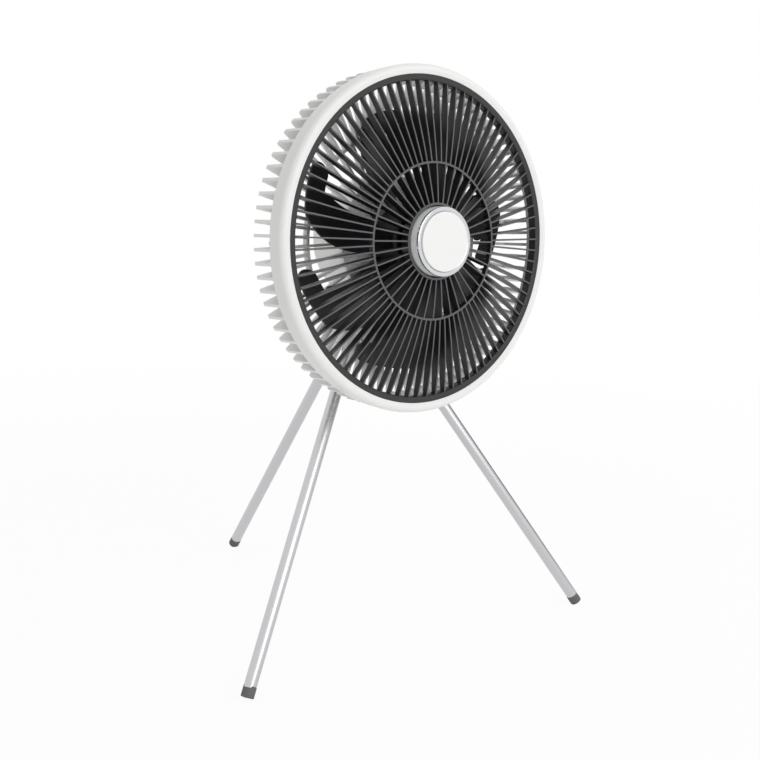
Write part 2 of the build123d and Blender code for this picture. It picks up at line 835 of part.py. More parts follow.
wall_front = pod_back - pod_wall
inner_edge = pod_edge - pod_wall
board_back = wall_front - board_standoff
board_radius = pod_inner - board_inset
board_post_circle = board_radius - board_post_inset
board_tab = pod_inner - board_tab_gap
ear_inner = tongue_width / 2 + washer_width + 2 * stop_gap
ear_middle = ear_inner + ear_width / 2
ear_top = hinge_drop - sqrt((pod_radius - pod_wall / 2) ** 2 - ear_middle**2)
port_middle = board_back + port_height / 2

with BuildPart() as pod_housing:
    with BuildSketch(section):
        with BuildLine():
            outer_side = Line((pod_radius, -pod_front), (pod_radius, pod_edge - pod_back))
            outer_end = (pod_radius - pod_edge, -pod_back)
            outer_turn = TangentArc(outer_side @ 1, outer_end, tangent=outer_side % 1)
            inner_side = Line((pod_inner, -pod_front), (pod_inner, inner_edge - wall_front))
            inner_end = (pod_inner - inner_edge, -wall_front)
            inner_turn = TangentArc(inner_side @ 1, inner_end, tangent=inner_side % 1)
            Polyline(outer_turn @ 1, (0, -pod_back), (0, -wall_front), inner_turn @ 1)
            Line(outer_side @ 0, inner_side @ 0)
        make_face()
    revolve(axis=fan_axis)
    with BuildSketch(depth_plane(pod_front + pod_spigot + stop_gap)):
        for angle in pod_screw_angles:
            with PolarLocations(pod_screw_circle, 1, start_angle=angle):
                Circle(pod_boss_radius)
        Circle(pod_radius - pod_wall / 2, mode=Mode.INTERSECT)
    extrude(amount=-pod_boss_length)
    with BuildSketch(depth_plane(pod_front)):
        for angle in pod_screw_angles:
            with PolarLocations(pod_screw_circle, 1, start_angle=angle):
                Circle(pod_screw_radius + turn_gap)
    extrude(amount=-pod_spigot - stop_gap - pod_boss_length, mode=Mode.SUBTRACT)
    with BuildSketch(depth_plane(board_back)):
        with PolarLocations(board_post_circle, 4, start_angle=45):
            Circle(board_post_radius)
    extrude(amount=-board_standoff)
    with BuildSketch(depth_plane(board_back)):
        with PolarLocations(board_post_circle, 4, start_angle=45):
            Circle(board_pin_radius)
    extrude(amount=board_thickness + button_edge)
    with BuildSketch(depth_plane(pod_back)):
        Circle(button_radius + button_gap)
        with PolarLocations(
            light_circle,
            light_count,
            start_angle=90 - light_pitch * (light_count - 1) / 2,
            angular_range=light_pitch * (light_count - 1),
            endpoint=True,
        ):
            Circle(light_radius + turn_gap)
    extrude(amount=pod_wall, mode=Mode.SUBTRACT)
    with BuildSketch(side_plane(port_middle)):
        SlotOverall(port_width + 2 * port_frame, port_height + 2 * port_frame)
    extrude(amount=pod_radius, mode=Mode.SUBTRACT)
    with BuildSketch(head_hinge.offset(ear_inner), head_hinge.offset(-ear_inner - ear_width)):
        with BuildLine():
            CenterArc((0, 0), hinge_eye_radius, 0, 360)
            Line((-ear_front, ear_top), (ear_back, ear_top))
        make_hull()
        Circle(hinge_pin_radius + turn_gap, mode=Mode.SUBTRACT)
    extrude(amount=ear_width)
write(pod_housing, "pod_housing")

with BuildPart() as pod_screws:
    with BuildSketch(depth_plane(hub_front + pod_screw_head_height)):
        for angle in pod_screw_angles:
            with PolarLocations(pod_screw_circle, 1, start_angle=angle):
                Circle(pod_screw_head)
    extrude(amount=pod_screw_head_height)
    with BuildSketch(depth_plane(hub_front + pod_screw_head_height)):
        for angle in pod_screw_angles:
            with PolarLocations(pod_screw_circle, 1, start_angle=angle):
                Circle(pod_screw_radius)
    extrude(amount=-pod_screw_length)
write(pod_screws, "pod_screws")

# ---- Battery: three cells across the pod in a cradle on the guard's hub ----

cradle_front = pod_front + pod_spigot
cell_depth = cradle_front + cradle_floor + cell_radius
cell_plane = side_plane(cell_depth)

with BuildPart() as battery_cells:
    with BuildSketch(cell_plane):
        with GridLocations(cell_pitch, 1, 3, 1):
            Circle(cell_radius)
    extrude(amount=cell_length / 2, both=True)
    with BuildSketch(cell_plane.offset(cell_length / 2)):
        with GridLocations(cell_pitch, 1, 3, 1):
            Circle(cell_tip_radius)
    extrude(amount=cell_tip)
write(battery_cells, "battery_cells")

cradle_half_length = cell_length / 2 + cell_tip + slide_gap
cradle_half_height = sqrt(spigot_radius**2 - (cradle_half_length + cradle_end) ** 2)
with BuildPart() as battery_cradle:
    with BuildSketch(depth_plane(cradle_front)):
        Rectangle(2 * (cradle_half_length + cradle_end), 2 * cradle_half_height)
    extrude(amount=-cradle_depth)
    with BuildSketch(cell_plane):
        with GridLocations(cell_pitch, 1, 3, 1):
            Circle(cell_radius + slide_gap)
    extrude(amount=cradle_half_length, both=True, mode=Mode.SUBTRACT)
write(battery_cradle, "battery_cradle")

# ---- Control board with switch, lights and charging port ----

with BuildPart() as control_board:
    with BuildSketch(depth_plane(board_back)):
        Circle(board_radius)
        with Locations((board_tab / 2, 0)):
            Rectangle(board_tab, board_tab_width)
        with PolarLocations(board_post_circle, 4, start_angle=45):
            Circle(board_pin_radius + slide_gap, mode=Mode.SUBTRACT)
    extrude(amount=board_thickness)
write(control_board, "control_board")

with BuildPart() as button_switch:
    with BuildSketch(depth_plane(board_back)):
        Rectangle(switch_size, switch_size)
    extrude(amount=-switch_height)
    with BuildSketch(depth_plane(board_back + switch_height)):
        Circle(switch_bore)
    extrude(amount=switch_bore_depth, mode=Mode.SUBTRACT)
write(button_switch, "button_switch")

flange_back = wall_front - stop_gap
stem_in = switch_bore_depth - button_travel - button_stem_gap
with BuildPart() as power_button:
    with BuildSketch(depth_plane(pod_back + button_proud)):
        Circle(button_radius)
    extrude(amount=pod_back + button_proud - flange_back)
    fillet(power_button.edges().group_by(fan_axis)[0], button_edge)
    with BuildSketch(depth_plane(flange_back)):
        Circle(button_radius + button_flange)
    extrude(amount=button_flange_thickness)
    with BuildSketch(depth_plane(flange_back)):
        Circle(button_stem_radius)
    extrude(amount=flange_back - board_back - switch_height + stem_in)
write(power_button, "power_button")

with BuildPart() as battery_lights:
    with BuildSketch(depth_plane(pod_back)):
        with PolarLocations(
            light_circle,
            light_count,
            start_angle=90 - light_pitch * (light_count - 1) / 2,
            angular_range=light_pitch * (light_count - 1),
            endpoint=True,
        ):
            Circle(light_radius)
    extrude(amount=pod_back - board_back - light_above_board)
    with BuildSketch(depth_plane(wall_front)):
        with BuildLine():
            CenterArc(
                (0, 0),
                light_circle,
                90 - light_pitch * (light_count - 1) / 2,
                light_pitch * (light_count - 1),
            )
        trace(line_width=2 * light_radius)
    extrude(amount=light_bar)
write(battery_lights, "battery_lights")

port_face = pod_inner - slide_gap
port_plane = side_plane(port_middle).offset(port_face)
with BuildPart() as usb_socket:
    with BuildSketch(port_plane):
        SlotOverall(port_width, port_height)
    extrude(amount=-port_depth)
    with BuildSketch(port_plane):
        SlotOverall(port_width - 2 * port_wall, port_height - 2 * port_wall)
    extrude(amount=-port_depth + port_wall, mode=Mode.SUBTRACT)
    with BuildSketch(port_plane.offset(-port_depth)):
        Rectangle(port_tongue_width, port_tongue)
    extrude(amount=port_tongue_length)
write(usb_socket, "usb_socket")

# ---- Tilt hinge ----

ear_outer = ear_inner + ear_width
with BuildPart() as tilt_pin:
    with BuildSketch(stand_hinge.offset(-ear_outer - stop_gap)):
        Circle(hinge_pin_radius)
    extrude(amount=2 * ear_outer + 2 * stop_gap + hinge_head_width)
    with BuildSketch(stand_hinge.offset(-ear_outer - stop_gap)):
        Circle(hinge_head_radius)
    extrude(amount=-hinge_head_width)
    fillet(tilt_pin.edges().group_by(Axis.X)[0], hinge_edge)
write(tilt_pin, "tilt_pin")

with BuildPart() as tilt_nut:
    with BuildSketch(stand_hinge.offset(ear_outer + stop_gap)):
        Circle(hinge_head_radius)
        Circle(hinge_pin_radius + press_gap, mode=Mode.SUBTRACT)
    extrude(amount=hinge_head_width)
write(tilt_nut, "tilt_nut")

with BuildPart() as tilt_washers:
    with BuildSketch(
        stand_hinge.offset(tongue_width / 2 + stop_gap),
        stand_hinge.offset(-tongue_width / 2 - stop_gap - washer_width),
    ):
        Circle(washer_radius)
        Circle(hinge_pin_radius + turn_gap, mode=Mode.SUBTRACT)
    extrude(amount=washer_width)
write(tilt_washers, "tilt_washers")

# ---- Tripod hub: dome with a tongue on top and three slots for the legs ----

slot_half_width = eye_width / 2 + slot_gap
stop_half = neck_width / 2 + stop_gap
swing_half = neck_width / 2 + slot_gap
swing_length = hub_radius

with BuildPart() as tripod_hub:
    with BuildSketch(hub_section):
        with BuildLine():
            Polyline((hub_radius, hub_shoulder), (hub_radius, -hub_below), (0, -hub_below), (0, hub_top))
            roof = Line((0, hub_top), (hub_radius - hub_turn, hub_top))
            TangentArc(roof @ 1, (hub_radius, hub_shoulder), tangent=roof % 1)
        make_face()
    revolve(axis=hub_axis)
    with BuildSketch(stand_hinge):
        with BuildLine():
            CenterArc((0, 0), hinge_eye_radius, 0, 360)
            Line(
                (-tongue_base / 2, hub_top - hinge_rise - hub_roof / 2),
                (tongue_base / 2, hub_top - hinge_rise - hub_roof / 2),
            )
        make_hull()
    extrude(amount=tongue_width / 2, both=True)
    with BuildSketch(stand_hinge):
        Circle(hinge_pin_radius + press_gap)
    extrude(amount=tongue_width / 2, both=True, mode=Mode.SUBTRACT)
    with BuildSketch(Plane.XY.offset(pivot_height - hub_below)):
        with Locations((0, tripod_y)):
            Circle(hub_radius - hub_wall)
            Circle(hub_core_radius, mode=Mode.SUBTRACT)
            for azimuth in leg_azimuths.values():
                with PolarLocations(hub_radius / 2, 1, start_angle=azimuth):
                    Rectangle(hub_radius, 2 * (slot_half_width + slot_side), mode=Mode.SUBTRACT)
    extrude(amount=hub_below + hub_pocket_top, mode=Mode.SUBTRACT)
    for azimuth in leg_azimuths.values():
        with BuildSketch(pivot_plane(azimuth)):
            Circle(slot_radius)
            with BuildLine():
                Polyline(
                    (stop_half * cos(splay), stop_half * sin(splay)),
                    (
                        stop_half * cos(splay) + swing_length * sin(splay),
                        stop_half * sin(splay) - swing_length * cos(splay),
                    ),
                    (-swing_half, -swing_length),
                    (-swing_half, 0),
                    close=True,
                )
            make_face()
        extrude(amount=slot_half_width, both=True, mode=Mode.SUBTRACT)
        with BuildSketch(pivot_plane(azimuth)):
            Circle(leg_pin_radius + press_gap)
        extrude(amount=slot_half_width + slot_side, both=True, mode=Mode.SUBTRACT)
write(tripod_hub, "tripod_hub")

with BuildPart() as leg_pins:
    with BuildSketch(*[pivot_plane(azimuth) for azimuth in leg_azimuths.values()]):
        Circle(leg_pin_radius)
    extrude(amount=slot_half_width + slot_side, both=True)
write(leg_pins, "leg_pins")

# ---- Legs: knuckle, tube and rubber foot ----

neck_length = knuckle_reach - collar_length
tube_end = foot_end - foot_length + foot_grip
for side, azimuth in leg_azimuths.items():
    with BuildPart() as knuckle:
        with BuildSketch(pivot_plane(azimuth)):
            Circle(eye_radius)
            with Locations((neck_length * sin(splay) / 2, -neck_length * cos(splay) / 2)):
                Rectangle(neck_length, neck_width, rotation=leg_splay - 90)
            Circle(leg_pin_radius + turn_gap, mode=Mode.SUBTRACT)
        extrude(amount=eye_width / 2, both=True)
        with BuildSketch(leg_plane(azimuth, neck_length)):
            Circle(collar_radius)
        extrude(amount=collar_length)
        with BuildSketch(leg_plane(azimuth, knuckle_reach)):
            Circle(tube_radius - tube_wall - press_gap)
        extrude(amount=spigot_length)
    write(knuckle, f"leg_knuckle_{side}")

    with BuildPart() as tube:
        with BuildSketch(leg_plane(azimuth, knuckle_reach)):
            Circle(tube_radius)
            Circle(tube_radius - tube_wall, mode=Mode.SUBTRACT)
        extrude(amount=tube_end - knuckle_reach)
    write(tube, f"leg_tube_{side}")

    with BuildPart() as foot:
        with BuildSketch(leg_plane(azimuth, foot_end - foot_length)):
            Circle(foot_radius)
        extrude(amount=foot_length)
        fillet(foot.edges().filter_by(GeomType.CIRCLE), foot_edge)
        with BuildSketch(leg_plane(azimuth, foot_end - foot_length)):
            Circle(tube_radius + press_gap)
        extrude(amount=foot_grip, mode=Mode.SUBTRACT)
        split(bisect_by=Plane.XY, keep=Keep.TOP)
    write(foot, f"foot_{side}")
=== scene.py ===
import json
from math import pi, radians

import bpy
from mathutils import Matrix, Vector


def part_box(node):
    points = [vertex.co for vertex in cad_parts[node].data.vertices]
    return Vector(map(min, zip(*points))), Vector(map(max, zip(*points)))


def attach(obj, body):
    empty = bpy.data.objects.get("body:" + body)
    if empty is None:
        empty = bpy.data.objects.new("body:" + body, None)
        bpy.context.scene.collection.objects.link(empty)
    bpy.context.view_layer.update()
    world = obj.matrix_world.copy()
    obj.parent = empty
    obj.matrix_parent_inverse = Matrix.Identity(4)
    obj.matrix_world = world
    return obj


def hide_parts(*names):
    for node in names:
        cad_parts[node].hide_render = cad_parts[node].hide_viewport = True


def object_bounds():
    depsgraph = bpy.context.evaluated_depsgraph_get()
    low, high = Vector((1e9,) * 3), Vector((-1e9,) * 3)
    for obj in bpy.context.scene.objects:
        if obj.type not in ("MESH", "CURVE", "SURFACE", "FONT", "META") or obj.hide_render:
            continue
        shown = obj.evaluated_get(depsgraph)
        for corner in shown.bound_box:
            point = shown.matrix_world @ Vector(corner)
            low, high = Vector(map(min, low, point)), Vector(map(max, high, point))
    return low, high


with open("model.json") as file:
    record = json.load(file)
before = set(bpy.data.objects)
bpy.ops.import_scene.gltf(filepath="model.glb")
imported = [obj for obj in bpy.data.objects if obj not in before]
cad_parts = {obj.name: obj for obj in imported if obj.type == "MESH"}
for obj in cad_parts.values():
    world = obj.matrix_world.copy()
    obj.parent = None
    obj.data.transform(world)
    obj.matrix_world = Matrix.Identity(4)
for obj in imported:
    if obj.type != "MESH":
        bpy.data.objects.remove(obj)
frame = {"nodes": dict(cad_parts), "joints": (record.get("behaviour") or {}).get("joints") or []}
cadLow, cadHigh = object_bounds()
print("frame loaded:", len(frame["nodes"]), "CAD nodes")

joints = {joint["name"]: joint for joint in frame["joints"]}
fanCentre = Vector(joints["impeller_spin"]["pos_m"])
fanForward = Vector(joints["impeller_spin"]["axis"]).normalized()
tiltCentre = Vector(joints["head_tilt"]["pos_m"])
legSides = ("left", "right", "rear")

camera = {
    "fromFan": (-0.56321, -0.65412, 0.05793),
    "turn": (79.459, -2.075, -38.425),  # degrees about X, Y and Z
    "lens": 56.68,  # mm
    "sensor": 36,  # mm
}

cameraData = bpy.data.cameras.new("camera")
cameraData.sensor_width = camera["sensor"]
cameraData.lens = camera["lens"]
cameraObject = bpy.data.objects.new("camera", cameraData)
cameraObject.location = fanCentre + Vector(camera["fromFan"])
cameraObject.rotation_euler = [radians(angle) for angle in camera["turn"]]
bpy.context.scene.collection.objects.link(cameraObject)
bpy.context.scene.camera = cameraObject
bpy.context.scene.view_settings.view_transform = "Standard"
print("camera placed")


def placeNode(tree, kind, at, inputs=None, **settings):
    made = tree.nodes.new(kind)
    made.location = at
    for name, value in settings.items():
        setattr(made, name, value)
    for name, value in (inputs or {}).items():
        made.inputs[name].default_value = value
    return made


def join(tree, source, target):
    tree.links.new(source, target)


def grey(level):  # display level 0 to 255 as a linear colour
    share = level / 255
    value = share / 12.92 if share < 0.04045 else ((share + 0.055) / 1.055) ** 2.4
    return (value, value, value, 1)


def tint(red, green, blue):
    return tuple(grey(level)[0] for level in (red, green, blue)) + (1,)


def startGroup(name, inputs, outputs):
    group = bpy.data.node_groups.new(name, "ShaderNodeTree")
    for label, kind, value in inputs:
        socket = group.interface.new_socket(label, in_out="INPUT", socket_type=kind)
        if value is not None:
            socket.default_value = value
    for label, kind in outputs:
        group.interface.new_socket(label, in_out="OUTPUT", socket_type=kind)
    entry = placeNode(group, "NodeGroupInput", (-1000, 0))
    leave = placeNode(group, "NodeGroupOutput", (800, 0))
    return group, entry.outputs, leave.inputs


def useGroup(tree, group, at, values=None):
    made = placeNode(tree, "ShaderNodeGroup", at, node_tree=group)
    for name, value in (values or {}).items():
        made.inputs[name].default_value = value
    return made


def shareOf(tree, at, value, span):  # 0 to 1 as the value crosses the span
    share = placeNode(tree, "ShaderNodeMapRange", at, {"From Min": span[0], "From Max": span[1]})
    join(tree, value, share.inputs["Value"])
    return share.outputs["Result"]


def product(tree, at, first, second, clamp=False):
    made = placeNode(tree, "ShaderNodeMath", at, operation="MULTIPLY", use_clamp=clamp)
    join(tree, first, made.inputs[0])
    join(tree, second, made.inputs[1])
    return made.outputs[0]


def aboutZero(tree, at, noise):  # a noise's 0 to 1 as -0.5 to 0.5
    swing = placeNode(tree, "ShaderNodeMath", at, {1: 0.5}, operation="SUBTRACT")
    join(tree, noise.outputs["Fac"], swing.inputs[0])
    return swing.outputs[0]


def swingTone(group, at, swing, given):
    shift = placeNode(group, "ShaderNodeMath", at, {2: 1.0}, operation="MULTIPLY_ADD")
    join(group, swing, shift.inputs[0])
    join(group, given["Tone Spread"], shift.inputs[1])
    toned = placeNode(group, "ShaderNodeVectorMath", (at[0] + 200, at[1]), operation="SCALE")
    join(group, given["Colour"], toned.inputs[0])
    join(group, shift.outputs[0], toned.inputs["Scale"])
    return toned.outputs[0]


def swingGloss(group, at, swing, given):
    shift = placeNode(group, "ShaderNodeMath", at, operation="MULTIPLY_ADD")
    join(group, swing, shift.inputs[0])
    join(group, given["Gloss Spread"], shift.inputs[1])
    join(group, given["Gloss"], shift.inputs[2])
    return shift.outputs[0]


surfaceOutputs = [
    ("Colour", "NodeSocketColor"),
    ("Roughness", "NodeSocketFloat"),
    ("Height", "NodeSocketFloat"),
]

# spark-eroded mould grain with slow patches of tone and gloss
mouldGrain, given, out = startGroup(
    "mould grain",
    [
        ("Vector", "NodeSocketVector", None),
        ("Grain Scale", "NodeSocketFloat", 2400),
        ("Patch Scale", "NodeSocketFloat", 26),
        ("Colour", "NodeSocketColor", (0.5, 0.5, 0.5, 1)),
        ("Tone Spread", "NodeSocketFloat", 0.03),
        ("Gloss", "NodeSocketFloat", 0.4),
        ("Gloss Spread", "NodeSocketFloat", 0.06),
    ],
    surfaceOutputs,
)
grain = placeNode(mouldGrain, "ShaderNodeTexNoise", (-700, 200), {"Detail": 3, "Roughness": 0.6})
patches = placeNode(mouldGrain, "ShaderNodeTexNoise", (-700, -150), {"Detail": 4, "Roughness": 0.55})
join(mouldGrain, given["Vector"], grain.inputs["Vector"])
join(mouldGrain, given["Grain Scale"], grain.inputs["Scale"])
join(mouldGrain, given["Vector"], patches.inputs["Vector"])
join(mouldGrain, given["Patch Scale"], patches.inputs["Scale"])
patchSwing = aboutZero(mouldGrain, (-450, -150), patches)
join(mouldGrain, swingTone(mouldGrain, (-200, 50), patchSwing, given), out["Colour"])
join(mouldGrain, swingGloss(mouldGrain, (0, -200), patchSwing, given), out["Roughness"])
join(mouldGrain, grain.outputs["Fac"], out["Height"])

# corners that handling has rubbed, broken up by noise
cornerRub = {
    "turn": (0.995, 0.86),  # how far the true and the softened normal agree
    "chips": {"Scale": 420, "Detail": 5},
    "chipShare": (0.42, 0.62),
}
edgeWear, given, out = startGroup(
    "edge wear",
    [
        ("Vector", "NodeSocketVector", None),
        ("Width", "NodeSocketFloat", 0.0006),
        ("Amount", "NodeSocketFloat", 0.5),
    ],
    [("Mask", "NodeSocketFloat")],
)
rounded = placeNode(edgeWear, "ShaderNodeBevel", (-700, 200), samples=4)
facing = placeNode(edgeWear, "ShaderNodeNewGeometry", (-700, 0))
join(edgeWear, given["Width"], rounded.inputs["Radius"])
agreement = placeNode(edgeWear, "ShaderNodeVectorMath", (-450, 100), operation="DOT_PRODUCT")
join(edgeWear, rounded.outputs["Normal"], agreement.inputs[0])
join(edgeWear, facing.outputs["Normal"], agreement.inputs[1])
corner = shareOf(edgeWear, (-250, 100), agreement.outputs["Value"], cornerRub["turn"])
chips = placeNode(edgeWear, "ShaderNodeTexNoise", (-700, -250), cornerRub["chips"])
join(edgeWear, given["Vector"], chips.inputs["Vector"])
broken = shareOf(edgeWear, (-250, -200), chips.outputs["Fac"], cornerRub["chipShare"])
worn = product(edgeWear, (0, 0), corner, broken)
join(edgeWear, product(edgeWear, (250, 0), worn, given["Amount"], clamp=True), out["Mask"])

# fine dust that has settled on what faces up
dustFall = {
    "upward": (0.15, 0.9),  # Z of the normal
    "specks": {"Scale": 900, "Detail": 6, "Roughness": 0.7},
    "speckShare": (0.45, 0.7),
    "drifts": {"Scale": 34, "Detail": 3},
    "driftShare": (0.35, 0.7),
}
settledDust, given, out = startGroup(
    "settled dust",
    [("Vector", "NodeSocketVector", None), ("Amount", "NodeSocketFloat", 0.1)],
    [("Mask", "NodeSocketFloat")],
)
facing = placeNode(settledDust, "ShaderNodeNewGeometry", (-900, 200))
facingParts = placeNode(settledDust, "ShaderNodeSeparateXYZ", (-700, 200))
join(settledDust, facing.outputs["Normal"], facingParts.inputs[0])
upward = shareOf(settledDust, (-450, 200), facingParts.outputs["Z"], dustFall["upward"])
specks = placeNode(settledDust, "ShaderNodeTexNoise", (-700, -100), dustFall["specks"])
drifts = placeNode(settledDust, "ShaderNodeTexNoise", (-700, -350), dustFall["drifts"])
join(settledDust, given["Vector"], specks.inputs["Vector"])
join(settledDust, given["Vector"], drifts.inputs["Vector"])
speckShare = shareOf(settledDust, (-450, -100), specks.outputs["Fac"], dustFall["speckShare"])
driftShare = shareOf(settledDust, (-450, -350), drifts.outputs["Fac"], dustFall["driftShare"])
lying = product(settledDust, (-200, 100), upward, speckShare)
drifted = product(settledDust, (0, 0), lying, driftShare)
join(settledDust, product(settledDust, (250, 0), drifted, given["Amount"], clamp=True), out["Mask"])

# lines drawn along the local Z axis, as on extruded tube
drawing = {
    "stretch": (1, 1, 0.008),  # makes the noise long along Z
    "lines": {"Detail": 4, "Roughness": 0.65},
    "rubs": {"Scale": 48, "Detail": 5},
}
drawnLines, given, out = startGroup(
    "drawn lines",
    [
        ("Vector", "NodeSocketVector", None),
        ("Line Scale", "NodeSocketFloat", 3200),
        ("Colour", "NodeSocketColor", (0.6, 0.6, 0.6, 1)),
        ("Tone Spread", "NodeSocketFloat", 0.08),
        ("Gloss", "NodeSocketFloat", 0.3),
        ("Gloss Spread", "NodeSocketFloat", 0.12),
    ],
    surfaceOutputs,
)
stretched = placeNode(
    drawnLines, "ShaderNodeVectorMath", (-800, 100), {1: drawing["stretch"]}, operation="MULTIPLY"
)
join(drawnLines, given["Vector"], stretched.inputs[0])
lines = placeNode(drawnLines, "ShaderNodeTexNoise", (-600, 200), drawing["lines"])
join(drawnLines, stretched.outputs[0], lines.inputs["Vector"])
join(drawnLines, given["Line Scale"], lines.inputs["Scale"])
rubs = placeNode(drawnLines, "ShaderNodeTexNoise", (-600, -200), drawing["rubs"])
join(drawnLines, given["Vector"], rubs.inputs["Vector"])
lineSwing = aboutZero(drawnLines, (-350, 200), lines)
rubSwing = aboutZero(drawnLines, (-350, -200), rubs)
bothSwings = placeNode(drawnLines, "ShaderNodeMath", (-150, -100), operation="ADD")
join(drawnLines, lineSwing, bothSwings.inputs[0])
join(drawnLines, rubSwing, bothSwings.inputs[1])
join(drawnLines, swingTone(drawnLines, (-100, 150), lineSwing, given), out["Colour"])
join(drawnLines, swingGloss(drawnLines, (100, -150), bothSwings.outputs[0], given), out["Roughness"])
join(drawnLines, lines.outputs["Fac"], out["Height"])

# tool marks in rings round the local Z axis, as a lathe leaves them
turnedRings, given, out = startGroup(
    "turned rings",
    [
        ("Vector", "NodeSocketVector", None),
        ("Ring Scale", "NodeSocketFloat", 4000),
        ("Colour", "NodeSocketColor", (0.6, 0.6, 0.6, 1)),
        ("Tone Spread", "NodeSocketFloat", 0.06),
        ("Gloss", "NodeSocketFloat", 0.25),
        ("Gloss Spread", "NodeSocketFloat", 0.1),
    ],
    surfaceOutputs,
)
withoutZ = (1, 1, 0)
flat = placeNode(turnedRings, "ShaderNodeVectorMath", (-850, 200), {1: withoutZ}, operation="MULTIPLY")
join(turnedRings, given["Vector"], flat.inputs[0])
reach = placeNode(turnedRings, "ShaderNodeVectorMath", (-650, 200), operation="LENGTH")
join(turnedRings, flat.outputs[0], reach.inputs[0])
parts = placeNode(turnedRings, "ShaderNodeSeparateXYZ", (-850, -50))
join(turnedRings, given["Vector"], parts.inputs[0])
across = placeNode(turnedRings, "ShaderNodeCombineXYZ", (-450, 100))
join(turnedRings, reach.outputs["Value"], across.inputs["X"])
join(turnedRings, parts.outputs["Z"], across.inputs["Z"])
rings = placeNode(turnedRings, "ShaderNodeTexNoise", (-250, 150), {"Detail": 4, "Roughness": 0.7})
join(turnedRings, across.outputs[0], rings.inputs["Vector"])
join(turnedRings, given["Ring Scale"], rings.inputs["Scale"])
ringSwing = aboutZero(turnedRings, (0, 150), rings)
join(turnedRings, swingTone(turnedRings, (200, 200), ringSwing, given), out["Colour"])
join(turnedRings, swingGloss(turnedRings, (400, -50), ringSwing, given), out["Roughness"])
join(turnedRings, rings.outputs["Fac"], out["Height"])
print("shared effects made")


def startFinish(name, shaderValues):
    finish = bpy.data.materials.new(name)
    finish.use_nodes = True
    tree = finish.node_tree
    shader = tree.nodes["Principled BSDF"]
    shader.location = (500, 0)
    tree.nodes["Material Output"].location = (800, 0)
    for socket, value in shaderValues.items():
        shader.inputs[socket].default_value = value
    where = placeNode(tree, "ShaderNodeTexCoord", (-900, 0))
    return finish, tree, shader, where.outputs["Object"]


bumpStrength = 0.5
dustDulling = 0.5  # roughness that full dust adds


def addBump(tree, shader, height, depth, edgeRadius=0):
    bump = placeNode(tree, "ShaderNodeBump", (250, -300), {"Strength": bumpStrength, "Distance": depth})
    join(tree, height, bump.inputs["Height"])
    if edgeRadius:
        softEdge = placeNode(tree, "ShaderNodeBevel", (0, -450), {"Radius": edgeRadius}, samples=6)
        join(tree, softEdge.outputs["Normal"], bump.inputs["Normal"])
    join(tree, bump.outputs["Normal"], shader.inputs["Normal"])


def layColour(tree, at, mask, under, over):  # under is a socket or a plain colour
    mixed = placeNode(tree, "ShaderNodeMix", at, data_type="RGBA")  # its colours are sockets 6, 7 and 2
    mixed.inputs[7].default_value = over
    join(tree, mask, mixed.inputs[0])
    if isinstance(under, tuple):
        mixed.inputs[6].default_value = under
    else:
        join(tree, under, mixed.inputs[6])
    return mixed.outputs[2]


def mouldedPlastic(name, values):
    finish, tree, shader, where = startFinish(name, values["shader"])
    grain = useGroup(tree, mouldGrain, (-600, 0), values["grain"])
    join(tree, where, grain.inputs["Vector"])
    wear = useGroup(tree, edgeWear, (-600, -300), values["wear"])
    join(tree, where, wear.inputs["Vector"])
    rubbed = layColour(tree, (-300, 100), wear.outputs["Mask"], grain.outputs["Colour"], values["rubbed"])
    dust = useGroup(tree, settledDust, (-600, -550), {"Amount": values["dust"]})
    join(tree, where, dust.inputs["Vector"])
    dusted = layColour(tree, (0, 100), dust.outputs["Mask"], rubbed, values["dustColour"])
    join(tree, dusted, shader.inputs["Base Color"])
    dulled = placeNode(tree, "ShaderNodeMath", (0, -150), {1: dustDulling}, operation="MULTIPLY_ADD")
    dulled.use_clamp = True
    join(tree, dust.outputs["Mask"], dulled.inputs[0])
    join(tree, grain.outputs["Roughness"], dulled.inputs[2])
    join(tree, dulled.outputs[0], shader.inputs["Roughness"])
    addBump(tree, shader, grain.outputs["Height"], values["grainDepth"], values["edgeRadius"])
    return finish


# white ABS of the bezel, guard, pod and tripod hub
whiteShell = {
    "shader": {"IOR": 1.5, "Specular IOR Level": 0.4},
    "grain": {
        "Grain Scale": 2600,
        "Patch Scale": 22,
        "Colour": tint(238, 238, 236),
        "Tone Spread": 0.02,
        "Gloss": 0.38,
        "Gloss Spread": 0.08,
    },
    "wear": {"Width": 0.0005, "Amount": 0.25},
    "rubbed": tint(222, 221, 217),
    "dust": 0.05,
    "dustColour": tint(196, 192, 184),
    "edgeRadius": 0.0003,
    "grainDepth": 0.00003,
}

# charcoal ABS of the front grille
blackGrille = {
    "shader": {"IOR": 1.5, "Specular IOR Level": 0.5},
    "grain": {
        "Grain Scale": 3000,
        "Patch Scale": 30,
        "Colour": tint(39, 39, 41),
        "Tone Spread": 0.1,
        "Gloss": 0.36,
        "Gloss Spread": 0.08,
    },
    "wear": {"Width": 0.0004, "Amount": 0.5},
    "rubbed": tint(112, 112, 114),
    "dust": 0.08,
    "dustColour": tint(128, 125, 120),
    "edgeRadius": 0.0006,
    "grainDepth": 0.00003,
}

# nearly black nylon of the impeller
darkBlade = {
    "shader": {"IOR": 1.5, "Specular IOR Level": 0.35},
    "grain": {
        "Grain Scale": 1800,
        "Patch Scale": 44,
        "Colour": tint(25, 26, 29),
        "Tone Spread": 0.16,
        "Gloss": 0.46,
        "Gloss Spread": 0.12,
    },
    "wear": {"Width": 0.0005, "Amount": 0.35},
    "rubbed": tint(74, 75, 78),
    "dust": 0.12,
    "dustColour": tint(112, 108, 102),
    "edgeRadius": 0.0003,
    "grainDepth": 0.00003,
}

